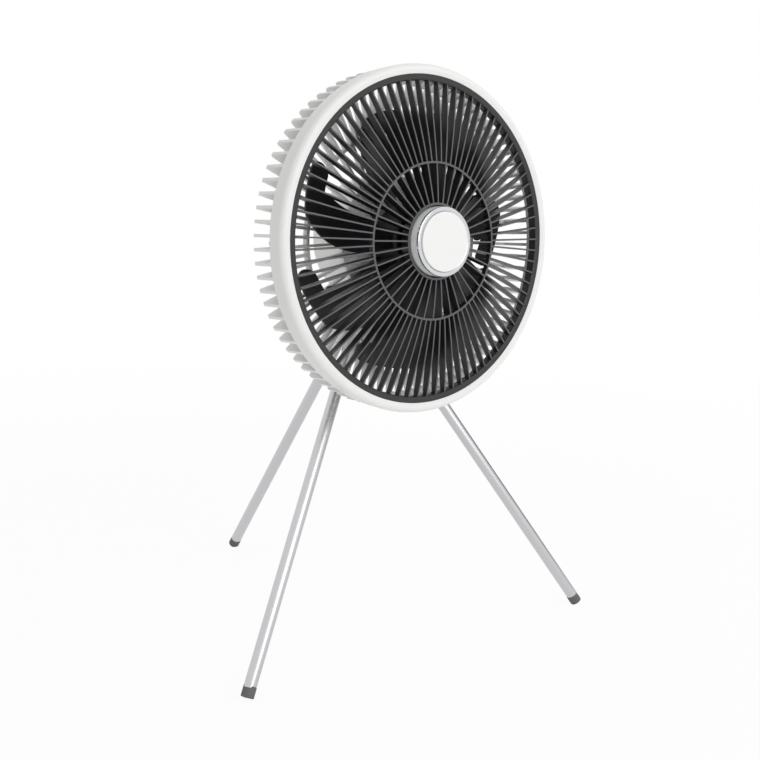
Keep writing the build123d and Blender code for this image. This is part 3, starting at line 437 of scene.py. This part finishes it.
# grey glass-filled nylon of the leg knuckles
greyJoint = {
    "shader": {"IOR": 1.5, "Specular IOR Level": 0.4},
    "grain": {
        "Grain Scale": 1500,
        "Patch Scale": 60,
        "Colour": tint(120, 121, 124),
        "Tone Spread": 0.12,
        "Gloss": 0.5,
        "Gloss Spread": 0.14,
    },
    "wear": {"Width": 0.0005, "Amount": 0.6},
    "rubbed": tint(160, 161, 163),
    "dust": 0.12,
    "dustColour": tint(170, 166, 158),
    "edgeRadius": 0.0003,
    "grainDepth": 0.00005,
}

# soft rubber of the feet
footRubber = {
    "shader": {"IOR": 1.5, "Specular IOR Level": 0.3},
    "grain": {
        "Grain Scale": 2200,
        "Patch Scale": 160,
        "Colour": tint(104, 104, 105),
        "Tone Spread": 0.25,
        "Gloss": 0.72,
        "Gloss Spread": 0.2,
    },
    "wear": {"Width": 0.0008, "Amount": 0.5},
    "rubbed": tint(132, 131, 128),
    "dust": 0.25,
    "dustColour": tint(150, 146, 138),
    "edgeRadius": 0.0004,
    "grainDepth": 0.00006,
}

# small black parts: switch, charging port, battery cradle
blackPart = {
    "shader": {"IOR": 1.5, "Specular IOR Level": 0.4},
    "grain": {
        "Grain Scale": 2000,
        "Patch Scale": 90,
        "Colour": tint(36, 36, 38),
        "Tone Spread": 0.15,
        "Gloss": 0.48,
        "Gloss Spread": 0.1,
    },
    "wear": {"Width": 0.0003, "Amount": 0.3},
    "rubbed": tint(80, 80, 82),
    "dust": 0.08,
    "dustColour": tint(120, 117, 110),
    "edgeRadius": 0.0002,
    "grainDepth": 0.00003,
}


def turnedMetal(name, values, centre, axis):
    finish, tree, shader, where = startFinish(name, values["shader"])
    turn = axis.rotation_difference(Vector((0, 0, 1)))
    centred = placeNode(tree, "ShaderNodeMapping", (-750, -150))
    centred.inputs["Location"].default_value = -(turn @ centre)
    centred.inputs["Rotation"].default_value = turn.to_euler()
    join(tree, where, centred.inputs["Vector"])
    marks = useGroup(tree, turnedRings, (-500, 0), values["marks"])
    join(tree, centred.outputs[0], marks.inputs["Vector"])
    wear = useGroup(tree, edgeWear, (-500, -300), values["wear"])
    join(tree, where, wear.inputs["Vector"])
    rubbed = layColour(tree, (-150, 100), wear.outputs["Mask"], marks.outputs["Colour"], values["rubbed"])
    join(tree, rubbed, shader.inputs["Base Color"])
    join(tree, marks.outputs["Roughness"], shader.inputs["Roughness"])
    addBump(tree, shader, marks.outputs["Height"], values["markDepth"], values.get("edgeRadius", 0))
    return finish


def drawnMetal(name, values, axis):
    finish, tree, shader, where = startFinish(name, values["shader"])
    turn = axis.rotation_difference(Vector((0, 0, 1)))
    lined = placeNode(tree, "ShaderNodeMapping", (-750, -150))
    lined.inputs["Rotation"].default_value = turn.to_euler()
    join(tree, where, lined.inputs["Vector"])
    lines = useGroup(tree, drawnLines, (-500, 0), values["lines"])
    join(tree, lined.outputs[0], lines.inputs["Vector"])
    wear = useGroup(tree, edgeWear, (-500, -300), values["wear"])
    join(tree, where, wear.inputs["Vector"])
    rubbed = layColour(tree, (-150, 100), wear.outputs["Mask"], lines.outputs["Colour"], values["rubbed"])
    dust = useGroup(tree, settledDust, (-500, -500), {"Amount": values["dust"]})
    join(tree, where, dust.inputs["Vector"])
    dusted = layColour(tree, (100, 100), dust.outputs["Mask"], rubbed, values["dustColour"])
    join(tree, dusted, shader.inputs["Base Color"])
    join(tree, lines.outputs["Roughness"], shader.inputs["Roughness"])
    addBump(tree, shader, lines.outputs["Height"], values["lineDepth"])
    return finish


# satin silver lacquer on the cap's barrel
silverBarrel = {
    "shader": {"Metallic": 0.05, "Coat Weight": 0.3},
    "marks": {
        "Ring Scale": 2600,
        "Colour": tint(246, 247, 248),
        "Tone Spread": 0.08,
        "Gloss": 0.36,
        "Gloss Spread": 0.12,
    },
    "wear": {"Width": 0.0004, "Amount": 0.3},
    "rubbed": tint(250, 250, 250),
    "markDepth": 0.00001,
}

# chrome plate on the cap's rim
brightRim = {
    "shader": {"Metallic": 1.0},
    "marks": {
        "Ring Scale": 5200,
        "Colour": tint(214, 215, 217),
        "Tone Spread": 0.03,
        "Gloss": 0.07,
        "Gloss Spread": 0.05,
    },
    "wear": {"Width": 0.0003, "Amount": 0.15},
    "rubbed": tint(200, 200, 202),
    "markDepth": 0.000004,
    "edgeRadius": 0.0011,
}

# glossy white enamel on the cap's disc and the power button
whiteCap = {
    "shader": {"IOR": 1.5, "Coat Weight": 0.35, "Coat Roughness": 0.12},
    "marks": {
        "Ring Scale": 300,
        "Colour": tint(240, 240, 239),
        "Tone Spread": 0.01,
        "Gloss": 0.3,
        "Gloss Spread": 0.04,
    },
    "wear": {"Width": 0.0003, "Amount": 0.12},
    "rubbed": tint(226, 225, 222),
    "markDepth": 0.000004,
    "edgeRadius": 0.0008,
}

# stainless steel of the tilt pin, screws, shafts and hinge pins
pinSteel = {
    "shader": {"Metallic": 1.0},
    "marks": {
        "Ring Scale": 3600,
        "Colour": tint(176, 175, 174),
        "Tone Spread": 0.12,
        "Gloss": 0.26,
        "Gloss Spread": 0.14,
    },
    "wear": {"Width": 0.0003, "Amount": 0.6},
    "rubbed": tint(210, 209, 206),
    "markDepth": 0.000012,
}

# laminated and turned steel of the motor
motorSteel = {
    "shader": {"Metallic": 1.0},
    "marks": {
        "Ring Scale": 1900,
        "Colour": tint(132, 133, 136),
        "Tone Spread": 0.18,
        "Gloss": 0.34,
        "Gloss Spread": 0.16,
    },
    "wear": {"Width": 0.0003, "Amount": 0.4},
    "rubbed": tint(176, 176, 178),
    "markDepth": 0.00002,
}

# cast alloy of the motor mount
motorAlloy = {
    "shader": {"Metallic": 0.85},
    "marks": {
        "Ring Scale": 900,
        "Colour": tint(150, 151, 153),
        "Tone Spread": 0.14,
        "Gloss": 0.5,
        "Gloss Spread": 0.14,
    },
    "wear": {"Width": 0.0004, "Amount": 0.5},
    "rubbed": tint(190, 190, 190),
    "markDepth": 0.00004,
}

# enamelled wire of the coils: its turns show as fine rings
coilCopper = {
    "shader": {"Metallic": 0.8, "Coat Weight": 0.4},
    "marks": {
        "Ring Scale": 1400,
        "Colour": tint(184, 108, 62),
        "Tone Spread": 0.6,
        "Gloss": 0.34,
        "Gloss Spread": 0.2,
    },
    "wear": {"Width": 0.0004, "Amount": 0.2},
    "rubbed": tint(214, 150, 104),
    "markDepth": 0.0001,
}

# satin anodised aluminium of the leg tubes
legMetal = {
    "shader": {"Metallic": 1.0},
    "lines": {
        "Line Scale": 1600,
        "Colour": tint(200, 200, 202),
        "Tone Spread": 0.03,
        "Gloss": 0.34,
        "Gloss Spread": 0.04,
    },
    "wear": {"Width": 0.0004, "Amount": 0.2},
    "rubbed": tint(224, 224, 225),
    "dust": 0.015,
    "dustColour": tint(170, 167, 162),
    "lineDepth": 0.000002,
}


def legAxis(side):
    low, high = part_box("foot_" + side)
    hinge = Vector(joints["leg_fold_" + side]["pos_m"])
    return (hinge - (low + high) / 2).normalized()


finishes = {
    "white_shell": mouldedPlastic("whiteShell", whiteShell),
    "black_grille": mouldedPlastic("blackGrille", blackGrille),
    "dark_blade": mouldedPlastic("darkBlade", darkBlade),
    "grey_joint": mouldedPlastic("greyJoint", greyJoint),
    "foot_rubber": mouldedPlastic("footRubber", footRubber),
    "black_part": mouldedPlastic("blackPart", blackPart),
    "silver_barrel": turnedMetal("silverBarrel", silverBarrel, fanCentre, fanForward),
    "bright_rim": turnedMetal("brightRim", brightRim, fanCentre, fanForward),
    "white_cap": turnedMetal("whiteCap", whiteCap, fanCentre, fanForward),
    "pin_steel": turnedMetal("pinSteel", pinSteel, tiltCentre, Vector((1, 0, 0))),
    "motor_steel": turnedMetal("motorSteel", motorSteel, fanCentre, fanForward),
    "motor_alloy": turnedMetal("motorAlloy", motorAlloy, fanCentre, fanForward),
    "copper": turnedMetal("coilCopper", coilCopper, fanCentre, fanForward),
}

# painted highlight: spoke faces that point forward, inside the flat rim, get a lighter colour that stands
# in for light caught on their front edges
spokePaintedHighlight = {
    # colour of the painted highlight
    "tone": tint(89, 89, 91),
    "facing": (0.94, 0.975),  # share of the normal that points forward
    "within": (0.1126, 0.1114),  # metres from the fan's centre
}
tree = finishes["black_grille"].node_tree
shader = tree.nodes["Principled BSDF"]
dark = shader.inputs["Base Color"].links[0].from_socket
where = placeNode(tree, "ShaderNodeTexCoord", (-900, 700))
facing = placeNode(tree, "ShaderNodeVectorMath", (-650, 800), {1: fanForward}, operation="DOT_PRODUCT")
join(tree, where.outputs["Normal"], facing.inputs[0])
fromCentre = placeNode(tree, "ShaderNodeVectorMath", (-650, 600), {1: fanCentre}, operation="DISTANCE")
join(tree, where.outputs["Object"], fromCentre.inputs[0])
forward = shareOf(tree, (-400, 800), facing.outputs["Value"], spokePaintedHighlight["facing"])
insideRim = shareOf(tree, (-400, 550), fromCentre.outputs["Value"], spokePaintedHighlight["within"])
# painted highlight mask: faces that point forward and lie inside the rim
paintedHighlight = product(tree, (-150, 650), forward, insideRim)
join(tree, layColour(tree, (200, 400), paintedHighlight, dark, spokePaintedHighlight["tone"]), shader.inputs["Base Color"])

legFinishes = {side: drawnMetal("legMetal." + side, legMetal, legAxis(side)) for side in legSides}

# shrink sleeve round each battery cell, with its faint crinkles
cellSleeve = {
    "shader": {"Roughness": 0.28, "Coat Weight": 0.3},
    "colour": tint(52, 92, 132),
    "paler": tint(84, 126, 166),
    "palerShare": 0.25,
    "crinkles": {"Scale": 260, "Detail": 5},
    "crinkleDepth": 0.00008,
}
finish, tree, shader, where = startFinish("cellSleeve", cellSleeve["shader"])
crinkles = placeNode(tree, "ShaderNodeTexNoise", (-600, 0), cellSleeve["crinkles"])
join(tree, where, crinkles.inputs["Vector"])
pale = placeNode(tree, "ShaderNodeMapRange", (-350, 100), {"To Max": cellSleeve["palerShare"]})
join(tree, crinkles.outputs["Fac"], pale.inputs["Value"])
sleeveBase = layColour(tree, (-50, 100), pale.outputs["Result"], cellSleeve["colour"], cellSleeve["paler"])
join(tree, sleeveBase, shader.inputs["Base Color"])
addBump(tree, shader, crinkles.outputs["Fac"], cellSleeve["crinkleDepth"])
finishes["cell_sleeve"] = finish

# solder mask over etched tracks
boardMask = {
    "shader": {"Roughness": 0.32, "Coat Weight": 0.2},
    "mask": tint(24, 84, 58),
    "track": tint(58, 132, 92),
    "trackScale": 320,
    "trackEdge": (0.5, 0.56),
    "trackHeight": 0.00003,
}
finish, tree, shader, where = startFinish("boardMask", boardMask["shader"])
tracks = placeNode(
    tree, "ShaderNodeTexVoronoi", (-600, 0), {"Scale": boardMask["trackScale"]}, distance="MANHATTAN"
)
join(tree, where, tracks.inputs["Vector"])
onTrack = shareOf(tree, (-350, 0), tracks.outputs["Distance"], boardMask["trackEdge"])
boardBase = layColour(tree, (-50, 100), onTrack, boardMask["mask"], boardMask["track"])
join(tree, boardBase, shader.inputs["Base Color"])
addBump(tree, shader, onTrack, boardMask["trackHeight"])
finishes["board"] = finish

# frosted clear acrylic of the battery lights
lightGuide = {
    "shader": {"Transmission Weight": 0.6, "IOR": 1.49},
    "colour": tint(226, 230, 230),
    "frosted": tint(204, 212, 212),
    "frost": {"Scale": 1400, "Detail": 3},
    "frostDepth": 0.00002,
    "gloss": (0.3, 0.55),
}
finish, tree, shader, where = startFinish("lightGuide", lightGuide["shader"])
frost = placeNode(tree, "ShaderNodeTexNoise", (-600, 0), lightGuide["frost"])
join(tree, where, frost.inputs["Vector"])
frostGloss = placeNode(tree, "ShaderNodeMapRange", (-300, -100))
frostGloss.inputs["To Min"].default_value, frostGloss.inputs["To Max"].default_value = lightGuide["gloss"]
join(tree, frost.outputs["Fac"], frostGloss.inputs["Value"])
join(tree, frostGloss.outputs["Result"], shader.inputs["Roughness"])
frostBase = layColour(tree, (-50, 100), frost.outputs["Fac"], lightGuide["colour"], lightGuide["frosted"])
join(tree, frostBase, shader.inputs["Base Color"])
addBump(tree, shader, frost.outputs["Fac"], lightGuide["frostDepth"])
finishes["light_guide"] = finish

for name, node in frame["nodes"].items():
    for slot in node.material_slots:
        slotName = slot.material.name.split(".")[0]
        if slotName == "leg_metal":
            slot.material = legFinishes[name.rsplit("_", 1)[1]]
        else:
            slot.material = finishes[slotName]
print("finishes made:", len(finishes) + len(legFinishes))


def deselectAll():
    bpy.ops.object.select_all(action="DESELECT")


def pickFaces(mesh, wanted):
    bpy.ops.mesh.select_mode(type="FACE")
    bpy.ops.mesh.select_all(action="DESELECT")
    bpy.ops.object.mode_set(mode="OBJECT")
    for face in mesh.polygons:
        face.select = wanted(face)
    bpy.ops.object.mode_set(mode="EDIT")


def roundEdges(piece, width, segments, angle=30):
    rounding = piece.modifiers.new("roundEdges", "BEVEL")
    rounding.width = width
    rounding.segments = segments
    rounding.limit_method = "ANGLE"
    rounding.angle_limit = radians(angle)
    bpy.ops.object.modifier_apply(modifier=rounding.name)


def settle(piece):  # its place goes into its mesh
    deselectAll()
    piece.select_set(True)
    bpy.context.view_layer.objects.active = piece
    bpy.ops.object.transform_apply(location=True, rotation=True, scale=True)


def clothe(piece, finish):
    piece.data.materials.clear()
    piece.data.materials.append(finish)


# leg tubes, a little stouter than their CAD nodes, between collar and foot
legTube = {
    "radius": 0.00445,
    "bore": 0.0036,
    "boreDepth": 0.006,
    "edge": 0.0003,
    "edgeSegments": 3,
    "edgeAngle": 50,  # degrees, sharper corners than this are rolled
    "smoothAngle": 35,
    "collarEnd": 0.015,  # from the leg's hinge
    "inFoot": 0.0035,
    "sides": 56,
}
endFacing = 0.9  # along the tube, for a face that closes an end
boreFace = 0.75 * pi * legTube["bore"] ** 2  # far more than a face of the rim


def isEnd(face):
    return abs(face.normal.z) > endFacing


def isBoreEnd(face, toward):
    return face.normal.z * toward > endFacing and face.area > boreFace


for side in legSides:
    hinge = Vector(joints["leg_fold_" + side]["pos_m"])
    low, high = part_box("foot_" + side)
    downLeg = -legAxis(side)
    footTop = (((low + high) / 2 - hinge).dot(downLeg)) - (high - low).z / 2
    start = hinge + downLeg * legTube["collarEnd"]
    end = hinge + downLeg * (footTop + legTube["inFoot"])
    deselectAll()
    bpy.ops.mesh.primitive_cylinder_add(
        vertices=legTube["sides"], radius=legTube["radius"], depth=(end - start).length, location=(0, 0, 0)
    )
    tube = bpy.context.object
    tube.name = "legTube." + side
    bpy.ops.object.mode_set(mode="EDIT")
    pickFaces(tube.data, isEnd)
    bpy.ops.mesh.inset(thickness=legTube["radius"] - legTube["bore"], depth=0, use_individual=True)
    for toward in (1, -1):  # the bore at each end
        pickFaces(tube.data, lambda face: isBoreEnd(face, toward))
        bpy.ops.mesh.extrude_region_move(
            TRANSFORM_OT_translate={"value": (0, 0, -toward * legTube["boreDepth"])}
        )
    bpy.ops.object.mode_set(mode="OBJECT")
    roundEdges(tube, legTube["edge"], legTube["edgeSegments"], legTube["edgeAngle"])
    bpy.ops.object.shade_smooth_by_angle(angle=radians(legTube["smoothAngle"]))
    tube.rotation_euler = downLeg.to_track_quat("Z", "Y").to_euler()
    tube.location = (start + end) / 2
    settle(tube)
    clothe(tube, legFinishes[side])
    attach(tube, "leg_" + side)
    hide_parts("leg_tube_" + side)
print("leg tubes made")

# power sign on the button: an open ring and a bar, pad printed
powerSign = {
    "ring": 0.0026,
    "ringSteps": 16,
    "line": 0.00036,
    "lineSteps": 3,
    "gap": 0.1,  # share of the ring that is open on each side of the bar
    "bar": 0.0024,
    "barShift": 0.0019,
    "barSides": 16,
    "barEnd": 0.7,  # rounding as a share of the line
    "flatness": 0.3,  # height of the print as a share of the line
    "proud": 0.00006,
}
low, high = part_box("power_button")
buttonRadius = (high.x - low.x) / 2
buttonLength = ((high.y - low.y) - 2 * buttonRadius * fanForward.z) / -fanForward.y
signPlace = (low + high) / 2 - fanForward * (buttonLength / 2)

deselectAll()
bpy.ops.curve.primitive_bezier_circle_add(radius=powerSign["ring"], location=(0, 0, 0))
ring = bpy.context.object.data
ring.resolution_u = powerSign["ringSteps"]
ring.bevel_depth = powerSign["line"]
ring.bevel_resolution = powerSign["lineSteps"]
ring.bevel_factor_start = powerSign["gap"]
ring.bevel_factor_end = 1 - powerSign["gap"]
ring.use_fill_caps = True
bpy.ops.object.convert(target="MESH")
sign = bpy.context.object
sign.name = "powerSign"
sign.rotation_euler = (0, 0, radians(-90))  # its gap to where the bar stands
settle(sign)

deselectAll()
bpy.ops.mesh.primitive_cylinder_add(
    vertices=powerSign["barSides"],
    radius=powerSign["line"],
    depth=powerSign["bar"],
    location=(0, powerSign["barShift"], 0),
    rotation=(radians(90), 0, 0),
)
bar = bpy.context.object
roundEdges(bar, powerSign["line"] * powerSign["barEnd"], powerSign["lineSteps"])
settle(bar)
deselectAll()
bar.select_set(True)
sign.select_set(True)
bpy.context.view_layer.objects.active = sign
bpy.ops.object.join()
sign.scale = (1, 1, powerSign["flatness"])
settle(sign)
sign.rotation_euler = (-fanForward).to_track_quat("Z", "Y").to_euler()
sign.location = signPlace - fanForward * powerSign["proud"]
settle(sign)
clothe(sign, finishes["white_shell"])
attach(sign, "button")
print("power sign made")


studio = {
    "floorSize": 14.0,
    "floorTone": tint(250, 250, 250),
    "floorWhite": 0.92,  # share of plain white that the camera sees in the floor near the fan
    "whiteFrom": 0.45,  # metres from the fan where that share starts to rise to 1
    "whiteFull": 1.3,
    "skyFill": 0.6,  # world strength on the object, where the camera sees 1
    "keyPlace": (0.0, -1.95, 1.1),
    "keySize": 1.5,
    "keyPower": 13.5,
    "sidePlace": (1.6, -0.9, 1.3),
    "sideSize": 1.2,
    "sidePower": 6,
    "backPlace": (0.7, 1.7, 1.2),
    "backSize": 1.4,
    "backPower": 5,
    "cardPlace": (1.25, 0.15, 0.5),  # grey card that only reflections show
    "cardSize": (1.7, 0.98),
    "cardTone": 0.3,
}


def seenDirectly(tree, at):  # 1 for what the camera sees, also in reflections and through clear parts
    seen = placeNode(tree, "ShaderNodeLightPath", at)
    share = seen.outputs["Is Camera Ray"]
    for step, ray in enumerate(("Is Glossy Ray", "Is Transmission Ray"), start=1):
        either = placeNode(tree, "ShaderNodeMath", (at[0] + 200 * step, at[1]), operation="MAXIMUM")
        join(tree, share, either.inputs[0])
        join(tree, seen.outputs[ray], either.inputs[1])
        share = either.outputs[0]
    return share


def startStageFinish(name):
    finish = bpy.data.materials.new(name)
    finish.use_nodes = True
    tree = finish.node_tree
    tree.nodes.remove(tree.nodes["Principled BSDF"])
    return finish, tree, tree.nodes["Material Output"].inputs["Surface"]


deselectAll()
bpy.ops.mesh.primitive_plane_add(size=studio["floorSize"], location=(0, 0, cadLow.z))
floor = bpy.context.object
floor.name = "floor"
bpy.ops.object.transform_apply(location=True)
finish, tree, surface = startStageFinish("studioFloor")
matt = placeNode(tree, "ShaderNodeBsdfDiffuse", (-200, 100), {"Color": studio["floorTone"]})
white = placeNode(tree, "ShaderNodeEmission", (-200, -100), {"Color": (1, 1, 1, 1), "Strength": 1.0})
where = placeNode(tree, "ShaderNodeTexCoord", (-900, 600))
reach = placeNode(tree, "ShaderNodeVectorMath", (-700, 600), operation="LENGTH")
join(tree, where.outputs["Object"], reach.inputs[0])
whiter = placeNode(tree, "ShaderNodeMapRange", (-500, 600), {"To Min": studio["floorWhite"], "To Max": 1.0})
whiter.inputs["From Min"].default_value = studio["whiteFrom"]
whiter.inputs["From Max"].default_value = studio["whiteFull"]
join(tree, reach.outputs["Value"], whiter.inputs["Value"])
whiteShare = product(tree, (-300, 300), seenDirectly(tree, (-900, 300)), whiter.outputs["Result"])
blended = placeNode(tree, "ShaderNodeMixShader", (100, 0))
join(tree, whiteShare, blended.inputs[0])
join(tree, matt.outputs[0], blended.inputs[1])
join(tree, white.outputs[0], blended.inputs[2])
join(tree, blended.outputs[0], surface)
clothe(floor, finish)

world = bpy.data.worlds.new("studio")
bpy.context.scene.world = world
world.use_nodes = True
tree = world.node_tree
sky = tree.nodes["Background"]
sky.inputs["Color"].default_value = (1, 1, 1, 1)
skyLevel = placeNode(tree, "ShaderNodeMapRange", (-450, 0), {"To Min": studio["skyFill"], "To Max": 1.0})
join(tree, seenDirectly(tree, (-1100, 0)), skyLevel.inputs["Value"])
join(tree, skyLevel.outputs["Result"], sky.inputs["Strength"])


def addSoftbox(name, place, size, power, inReflections):
    lamp = bpy.data.lights.new(name, "AREA")
    lamp.shape = "SQUARE"
    lamp.size = size
    lamp.energy = power
    box = bpy.data.objects.new(name, lamp)
    box.location = place
    box.rotation_euler = (fanCentre - Vector(place)).to_track_quat("-Z", "Y").to_euler()
    box.visible_glossy = inReflections
    bpy.context.scene.collection.objects.link(box)


addSoftbox("keyLight", studio["keyPlace"], studio["keySize"], studio["keyPower"], True)
addSoftbox("sideLight", studio["sidePlace"], studio["sideSize"], studio["sidePower"], False)
addSoftbox("backLight", studio["backPlace"], studio["backSize"], studio["backPower"], False)

deselectAll()
bpy.ops.mesh.primitive_plane_add(size=1, location=studio["cardPlace"])
card = bpy.context.object
card.name = "greyCard"
card.scale = (*studio["cardSize"], 1)
card.rotation_euler = (fanCentre - card.location).to_track_quat("Z", "Y").to_euler()
for ray in ("camera", "diffuse", "shadow", "transmission", "volume_scatter"):
    setattr(card, "visible_" + ray, False)
finish, tree, surface = startStageFinish("greyCard")
glow = placeNode(tree, "ShaderNodeEmission", (-200, 0), {"Strength": studio["cardTone"]})
join(tree, glow.outputs[0], surface)
clothe(card, finish)
print("studio lit")
